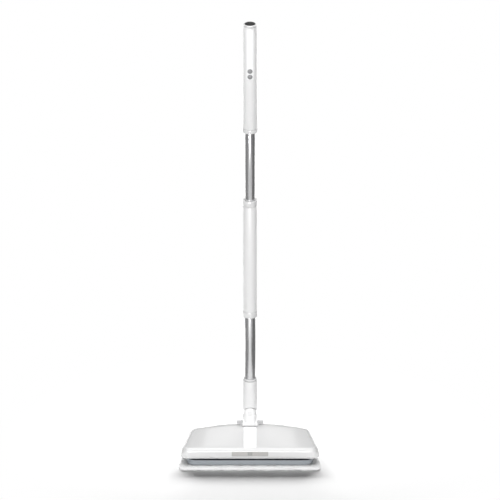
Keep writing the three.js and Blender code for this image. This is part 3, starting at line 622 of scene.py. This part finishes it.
lens_smoke = moulded("smoked_lens", (0.52, 0.51, 0.495), 0.28, 0.1, 0.4, 2000)
window_dark = moulded("window_dark", (0.42, 0.415, 0.41), 0.18, 0.03, 0.6)
refined("light_lens", "light_strip", "head", lens_smoke, 0.0006, 3)
refined("status_window", "status_pane", "head", window_dark, 0.0005, 3)

# ---- Pivot bracket and axle caps -----------------------------------------------------------------
# The grey bracket's ears rise through the cover; a turned cap closes each end of the axle.

refined("pivot_bracket", "tilt_bracket", "head", joint_grey, 0.0005, 2)
for side in ("left", "right"):
    refined(f"axle_cap_{side}", f"tilt_cap_{side}", "head", joint_grey, 0.0006, 3)

# ---- Knuckle and connector -----------------------------------------------------------------------
# White satin mouldings that share the neck's round section, with an arch-shaped joint line.

neck_white = moulded("neck_white", (0.84, 0.84, 0.84), 0.34, 0.04)
knuckle_white = moulded("knuckle_white", (0.96, 0.96, 0.96), 0.28, 0.03)
refined("knuckle", "neck_knuckle", "knuckle", knuckle_white, 0.0007, 3)
pin_white = moulded("pin_white", (0.9, 0.9, 0.9), 0.3)
refined("side_pin", "neck_pin", "knuckle", pin_white, 0.0006, 3)
refined("connector", "neck_connector", "handle", neck_white, 0.0006, 3)

# ---- Tubes, collars and middle sleeve ------------------------------------------------------------
# Satin anodised tubes and turned white mouldings. Each is a ring of points carried along its
# profile and closed on itself.

def turn(name, profile, node, body, slot, material, radius=0.0004, closed=True):
    deselect()
    start_radius, start_height = profile[0]
    bpy.ops.mesh.primitive_circle_add(vertices=96, radius=start_radius, fill_type="NOTHING",
                                      location=(0, neck_y, start_height))
    piece = bpy.context.object
    piece.name = name
    bpy.ops.object.mode_set(mode="EDIT")
    bpy.ops.mesh.select_all(action="SELECT")
    for (r0, z0), (r1, z1) in zip(profile, profile[1:]):
        bpy.ops.mesh.extrude_edges_move(TRANSFORM_OT_translate={"value": (0, 0, z1 - z0)})
        bpy.ops.transform.resize(value=(r1 / r0, r1 / r0, 1), center_override=(0, neck_y, z1))
    bpy.ops.mesh.select_all(action="DESELECT")
    bpy.ops.mesh.select_mode(type="EDGE")
    bpy.ops.mesh.select_non_manifold()
    if closed:
        bpy.ops.mesh.bridge_edge_loops()
    else:
        bpy.ops.mesh.fill_holes(sides=0)
    bpy.ops.mesh.select_all(action="SELECT")
    bpy.ops.mesh.normals_make_consistent(inside=False)
    bpy.ops.object.mode_set(mode="OBJECT")
    settle(piece)
    finish_with(piece, "BEVEL", width=radius, segments=2, limit_method="ANGLE",
                angle_limit=math.radians(35))
    only(piece)
    bpy.ops.object.shade_smooth_by_angle(angle=math.radians(32))
    dress(piece, body, material)
    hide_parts(node)
    return piece


def anodised():
    material = bpy.data.materials.new("anodised_aluminium")
    material.use_nodes = True
    nodes = material.node_tree.nodes
    links = material.node_tree.links
    shader = nodes["Principled BSDF"]
    place = nodes.new("ShaderNodeTexCoord")
    stretch = nodes.new("ShaderNodeMapping")
    stretch.inputs["Scale"].default_value = (900, 900, 6)
    noise = nodes.new("ShaderNodeTexNoise")
    noise.inputs["Scale"].default_value = 1.0
    noise.inputs["Detail"].default_value = 4
    bump = nodes.new("ShaderNodeBump")
    bump.inputs["Strength"].default_value = 0.08
    bump.inputs["Distance"].default_value = 0.0001
    spread = nodes.new("ShaderNodeMapRange")
    spread.inputs["To Min"].default_value = 0.2
    spread.inputs["To Max"].default_value = 0.3
    links.new(place.outputs["Object"], stretch.inputs["Vector"])
    links.new(stretch.outputs[0], noise.inputs["Vector"])
    links.new(noise.outputs["Fac"], bump.inputs["Height"])
    links.new(noise.outputs["Fac"], spread.inputs["Value"])
    links.new(spread.outputs[0], shader.inputs["Roughness"])
    links.new(bump.outputs["Normal"], shader.inputs["Normal"])
    shader.inputs["Base Color"].default_value = (0.8, 0.8, 0.81, 1)
    shader.inputs["Metallic"].default_value = 1
    return material


def radius_of(node):
    low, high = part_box(node)
    return (high.x - low.x) / 2


def ends_of(node):
    low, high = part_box(node)
    return low.z, high.z


aluminium = anodised()
tube_wall = 0.0012
for node, name in (("lower_tube", "anodised_lower_tube"), ("upper_tube", "anodised_upper_tube")):
    outer = radius_of(node)
    bottom, top = ends_of(node)
    inner = outer - tube_wall
    turn(name, [(inner, bottom), (outer, bottom), (outer, top), (inner, top)], node, "handle",
         "tube_aluminium", aluminium, 0.0003)

ring_bottom, ring_top = ends_of("collar_ring")
ring_outer = radius_of("collar_ring")
lower_bore = radius_of("lower_tube") + gap
upper_bore = radius_of("upper_tube") + gap
turn("tube_ring", [(lower_bore, ring_bottom), (ring_outer, ring_bottom), (ring_outer, ring_top),
                   (lower_bore, ring_top)], "collar_ring", "handle", "cover_plastic", cover_white, 0.0008)

sleeve_outer = radius_of("middle_sleeve")
sleeve_bottom, sleeve_top = ends_of("middle_sleeve")
sleeve_inner = sleeve_outer - 0.002
turn("satin_sleeve", [(sleeve_inner, sleeve_bottom), (sleeve_outer, sleeve_bottom),
                      (sleeve_outer, sleeve_top), (sleeve_inner, sleeve_top)],
     "middle_sleeve", "handle", "neck_plastic", neck_white)
for node, name, bore in (("sleeve_collar_lower", "lower_sleeve_collar", lower_bore),
                         ("sleeve_collar_upper", "upper_sleeve_collar", upper_bore)):
    outer = radius_of(node)
    bottom, top = ends_of(node)
    turn(name, [(bore, bottom), (outer, bottom), (outer, top), (bore, top)], node, "handle",
         "cover_plastic", cover_white, 0.0011)

# ---- Grip ----------------------------------------------------------------------------------------
# A slightly tapered white moulding over the cells, with a collar at its foot, a panel let into its
# front whose white is set brighter than the grip's as a painted highlight, two grey buttons and a
# white ring round the black plug in its end.

grip_bottom, grip_top = ends_of("grip_shell")
grip_foot = radius_of("grip_shell")
grip_head = radius_of("end_ring")
grip_bore = 0.0121
grip = turn("grip_moulding", [(upper_bore, grip_bottom), (grip_foot, grip_bottom), (grip_head, grip_top),
                              (grip_bore, grip_top), (grip_bore, grip_bottom + 0.05),
                              (upper_bore, grip_bottom + 0.046)],
            "grip_shell", "handle", "grip_plastic", gloss_white("grip_white", (0.89, 0.89, 0.89), 0.26, 0.3))

panel_low, panel_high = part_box("front_panel")


def grip_radius(z):
    return grip_foot + (grip_head - grip_foot) * (z - grip_bottom) / (grip_top - grip_bottom)


def grip_skin(name, deep, shallow, half, bottom, top):
    deselect()
    bpy.ops.mesh.primitive_grid_add(x_subdivisions=16, y_subdivisions=40, size=1)
    skin = bpy.context.object
    skin.name = name
    for vertex in skin.data.vertices:
        x = vertex.co.x * 2 * half
        z = bottom + (vertex.co.y + 0.5) * (top - bottom)
        around = grip_radius(z) - shallow
        vertex.co = (x, neck_y - math.sqrt(around * around - x * x), z)
    finish_with(skin, "SOLIDIFY", thickness=deep - shallow, offset=-1)
    only(skin)
    bpy.ops.object.mode_set(mode="EDIT")
    bpy.ops.mesh.select_all(action="SELECT")
    bpy.ops.mesh.normals_make_consistent(inside=False)
    bpy.ops.object.mode_set(mode="OBJECT")
    return skin


cut(grip, grip_skin("bed_cutter", 0.0018, -0.002, panel_high.x + gap, panel_low.z - gap, panel_high.z + gap))
panel = grip_skin("panel_painted_highlight", 0.0015, 0.0, panel_high.x, panel_low.z, panel_high.z)
finish_with(panel, "BEVEL", width=0.0003, segments=2, limit_method="ANGLE", angle_limit=math.radians(40))
button_nodes = ("power_button", "light_button")
for node in button_nodes:
    low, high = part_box(node)
    for holed in (grip, panel):
        deselect()
        bpy.ops.mesh.primitive_cylinder_add(
            vertices=64, radius=(high.x - low.x) / 2 + gap, depth=0.016,
            location=(0, neck_y - grip_head, (low.z + high.z) / 2), rotation=(math.pi / 2, 0, 0))
        cutter = bpy.context.object
        settle(cutter)
        cut(holed, cutter)
for piece in (grip, panel):
    only(piece)
    bpy.ops.object.shade_smooth_by_angle(angle=math.radians(32))
# The panel's white is set brighter than the grip's as a painted highlight.
dress(panel, "handle", gloss_white("panel_white_painted_highlight", (0.97, 0.97, 0.98), 0.12, 1.0))
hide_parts("front_panel")
panel_front = lamp("panel_front", (0, -2.5, 1.2), (0, 0, 1.0), (1.0, 0.6), 9, glossy=False)
share(panel_front, panel, "INCLUDE")

button_grey = moulded("button_grey", (0.28, 0.284, 0.288), 0.36, 0.08, 0.1)
for node in button_nodes:
    refined(node, node.replace("_button", "_push_button"), node, button_grey, 0.0005, 3)

collar_bottom, collar_top = ends_of("grip_collar")
collar_outer = radius_of("grip_collar")
turn("grip_end_collar", [(upper_bore, collar_bottom), (collar_outer, collar_bottom),
                         (collar_outer, collar_top), (upper_bore, collar_top)],
     "grip_collar", "handle", "cover_plastic", cover_white, 0.0013)
refined("end_ring", "white_end_ring", "handle", cover_white, 0.0004, 2)
refined("charge_plug", "rubber_plug", "charge_plug",
        moulded("plug_black", (0.006, 0.006, 0.006), 0.75, 0.2), 0.0004, 2)
